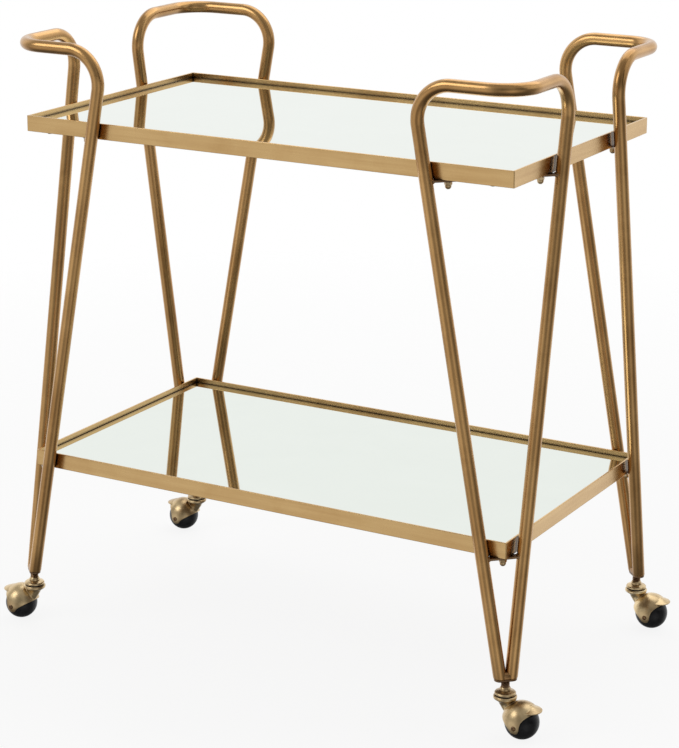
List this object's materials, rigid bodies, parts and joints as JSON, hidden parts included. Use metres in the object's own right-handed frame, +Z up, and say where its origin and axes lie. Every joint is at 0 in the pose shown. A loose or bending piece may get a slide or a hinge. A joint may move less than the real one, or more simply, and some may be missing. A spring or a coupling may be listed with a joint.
{
  "type": "bar cart",
  "caption": "Two-tier bar cart with mirrored trays, brass tube legs that loop into corner handles, and hooded ball casters.",
  "frame": {"origin": "floor level, centred under the trays, where the caster balls touch the floor", "axes": "+X along the trays' length, +Y to the back, +Z up"},
  "size_m": [0.94, 0.5302, 0.9325],
  "materials": {
    "brass": "antique brass finish on steel, satin",
    "dark_brass": "darkened antique brass",
    "caster_brass": "satin antique brass",
    "mirror": "plain silvered mirror, polished",
    "board": "painted fibreboard",
    "ball": "satin black",
    "nylon": "black"
  },
  "bodies": {
    "frame": {"top_tray_frame": "brass", "top_board": "board", "top_mirror": "mirror", "bottom_tray_frame": "brass", "bottom_board": "board", "bottom_mirror": "mirror", "top_studs": "dark_brass", "top_cap_nuts": "caster_brass", "top_board_screws": "dark_brass", "bottom_studs": "dark_brass", "bottom_cap_nuts": "caster_brass", "bottom_board_screws": "dark_brass", "leg_loop_front_left": "brass", "top_brace_front_left": "dark_brass", "bottom_brace_front_left": "dark_brass", "foot_plate_front_left": "dark_brass", "caster_stem_front_left": "dark_brass", "caster_washer_front_left": "caster_brass", "swivel_ring_front_left": "nylon", "leg_loop_front_right": "brass", "top_brace_front_right": "dark_brass", "bottom_brace_front_right": "dark_brass", "foot_plate_front_right": "dark_brass", "caster_stem_front_right": "dark_brass", "caster_washer_front_right": "caster_brass", "swivel_ring_front_right": "nylon", "leg_loop_back_right": "brass", "top_brace_back_right": "dark_brass", "bottom_brace_back_right": "dark_brass", "foot_plate_back_right": "dark_brass", "caster_stem_back_right": "dark_brass", "caster_washer_back_right": "caster_brass", "swivel_ring_back_right": "nylon", "leg_loop_back_left": "brass", "top_brace_back_left": "dark_brass", "bottom_brace_back_left": "dark_brass", "foot_plate_back_left": "dark_brass", "caster_stem_back_left": "dark_brass", "caster_washer_back_left": "caster_brass", "swivel_ring_back_left": "nylon"},
    "caster_front_left": {"caster_hood_front_left": "caster_brass", "caster_axle_front_left": "dark_brass"},
    "ball_front_left": {"caster_ball_front_left": "ball"},
    "caster_front_right": {"caster_hood_front_right": "caster_brass", "caster_axle_front_right": "dark_brass"},
    "ball_front_right": {"caster_ball_front_right": "ball"},
    "caster_back_right": {"caster_hood_back_right": "caster_brass", "caster_axle_back_right": "dark_brass"},
    "ball_back_right": {"caster_ball_back_right": "ball"},
    "caster_back_left": {"caster_hood_back_left": "caster_brass", "caster_axle_back_left": "dark_brass"},
    "ball_back_left": {"caster_ball_back_left": "ball"}
  },
  "joints": [
    {"name": "swivel_front_left", "type": "hinge", "parent": "frame", "child": "caster_front_left", "pos_m": [-0.41319, -0.23519, 0.058], "axis": [0, 0, 1], "continuous": true},
    {"name": "roll_front_left", "type": "hinge", "parent": "caster_front_left", "child": "ball_front_left", "pos_m": [-0.44019, -0.23519, 0.025], "axis": [0, 1, 0], "continuous": true},
    {"name": "swivel_front_right", "type": "hinge", "parent": "frame", "child": "caster_front_right", "pos_m": [0.41319, -0.23519, 0.058], "axis": [0, 0, 1], "continuous": true},
    {"name": "roll_front_right", "type": "hinge", "parent": "caster_front_right", "child": "ball_front_right", "pos_m": [0.44019, -0.23519, 0.025], "axis": [0, 1, 0], "continuous": true},
    {"name": "swivel_back_right", "type": "hinge", "parent": "frame", "child": "caster_back_right", "pos_m": [0.41319, 0.23519, 0.058], "axis": [0, 0, 1], "continuous": true},
    {"name": "roll_back_right", "type": "hinge", "parent": "caster_back_right", "child": "ball_back_right", "pos_m": [0.44019, 0.23519, 0.025], "axis": [0, 1, 0], "continuous": true},
    {"name": "swivel_back_left", "type": "hinge", "parent": "frame", "child": "caster_back_left", "pos_m": [-0.41319, 0.23519, 0.058], "axis": [0, 0, 1], "continuous": true},
    {"name": "roll_back_left", "type": "hinge", "parent": "caster_back_left", "child": "ball_back_left", "pos_m": [-0.44019, 0.23519, 0.025], "axis": [0, 1, 0], "continuous": true}
  ]
}
